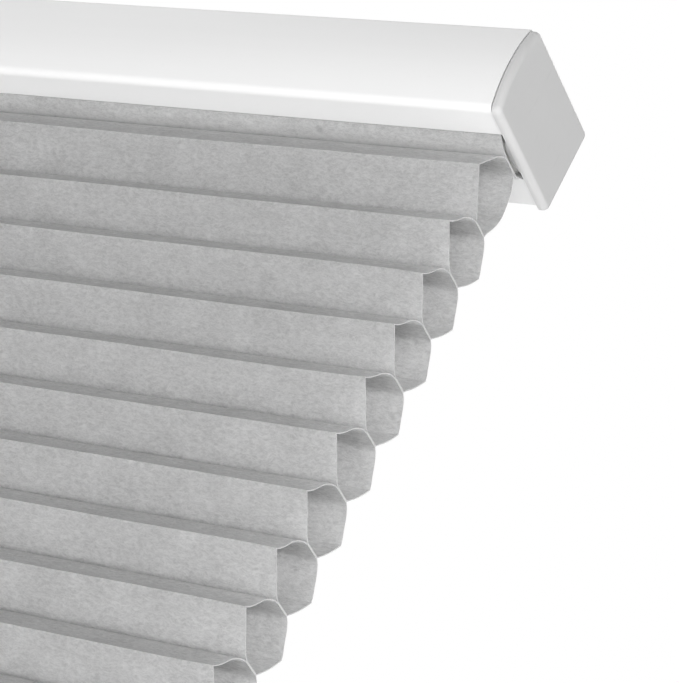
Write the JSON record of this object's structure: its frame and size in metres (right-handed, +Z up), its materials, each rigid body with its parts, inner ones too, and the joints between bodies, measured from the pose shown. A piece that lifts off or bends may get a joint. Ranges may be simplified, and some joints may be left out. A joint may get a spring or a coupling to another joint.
{
  "type": "cordless cellular blind",
  "caption": "Cordless honeycomb pleated blind hanging fully lowered from a bowed headrail, with a spring lift motor, swivel-cam brackets and a weighted bottom rail with a pull handle.",
  "frame": {"origin": "middle of the bracket screw holes, on the plane that the two brackets are screwed to", "axes": "+X along the headrail to the right, seen from the room; +Y from the room side to the window side; +Z up, out of the brackets into the lintel"},
  "size_m": [0.607, 0.0536, 0.6416],
  "materials": {
    "rail_paint": "smooth white powder coat on extruded aluminium",
    "cap_plastic": "light grey moulded ABS, fine satin texture",
    "cloth": "mottled grey spunbond non-woven polyester",
    "strip_plastic": "extruded white PVC",
    "zinc_steel": "bright zinc-plated steel",
    "spring_steel": "blued spring steel",
    "acetal": "white moulded acetal",
    "motor_plastic": "dark grey moulded nylon",
    "cord": "braided polyester",
    "handle_plastic": "white moulded polycarbonate"
  },
  "bodies": {
    "headrail": {"headrail": "rail_paint", "end_cap_right": "cap_plastic", "end_cap_left": "cap_plastic", "bracket_right": "zinc_steel", "bracket_left": "zinc_steel", "rivet_right": "zinc_steel", "rivet_left": "zinc_steel", "header_strip": "strip_plastic", "fabric": "cloth", "cradle_right": "acetal", "cradle_left": "acetal", "motor_base": "motor_plastic", "motor_cover": "motor_plastic", "motor_screws": "zinc_steel", "storage_pin": "zinc_steel", "spring_tape": "spring_steel", "lift_cord_right": "cord", "lift_cord_left": "cord"},
    "bottom_rail": {"bottom_rail": "rail_paint", "bottom_cap_right": "cap_plastic", "bottom_cap_left": "cap_plastic", "weight_bar": "zinc_steel", "pull_handle": "handle_plastic", "footer_strip": "strip_plastic", "cord_button_right": "acetal", "cord_button_left": "acetal"},
    "lift_shaft": {"lift_shaft": "zinc_steel", "spool_right": "acetal", "spool_left": "acetal", "output_drum": "acetal"},
    "storage_drum": {"storage_drum": "acetal"},
    "cam_right": {"cam_lever_right": "acetal"},
    "cam_left": {"cam_lever_left": "acetal"}
  },
  "joints": [
    {"name": "bottom_rail_slide", "type": "slide", "parent": "headrail", "child": "bottom_rail", "axis": [0, 0, 1], "range_m": [0, 0.5], "deforming": ["fabric", "lift_cord_right", "lift_cord_left"]},
    {"name": "lift_shaft_spin", "type": "hinge", "parent": "headrail", "child": "lift_shaft", "pos_m": [0, 0.01215, -0.02035], "axis": [-1, 0, 0], "range_deg": [0, 3330]},
    {"name": "storage_drum_spin", "type": "hinge", "parent": "headrail", "child": "storage_drum", "pos_m": [0, -0.00605, -0.02035], "axis": [-1, 0, 0], "range_deg": [0, 3330]},
    {"name": "cam_right_turn", "type": "hinge", "parent": "headrail", "child": "cam_right", "pos_m": [0.232, 0, -0.0036], "axis": [0, 0, -1], "range_deg": [0, 90]},
    {"name": "cam_left_turn", "type": "hinge", "parent": "headrail", "child": "cam_left", "pos_m": [-0.232, 0, -0.0036], "axis": [0, 0, 1], "range_deg": [0, 90]}
  ],
  "couplings": [
    {"joint": "lift_shaft_spin", "follows": "bottom_rail_slide", "rad_per_m": 115.61},
    {"joint": "storage_drum_spin", "follows": "bottom_rail_slide", "rad_per_m": 115.61}
  ]
}
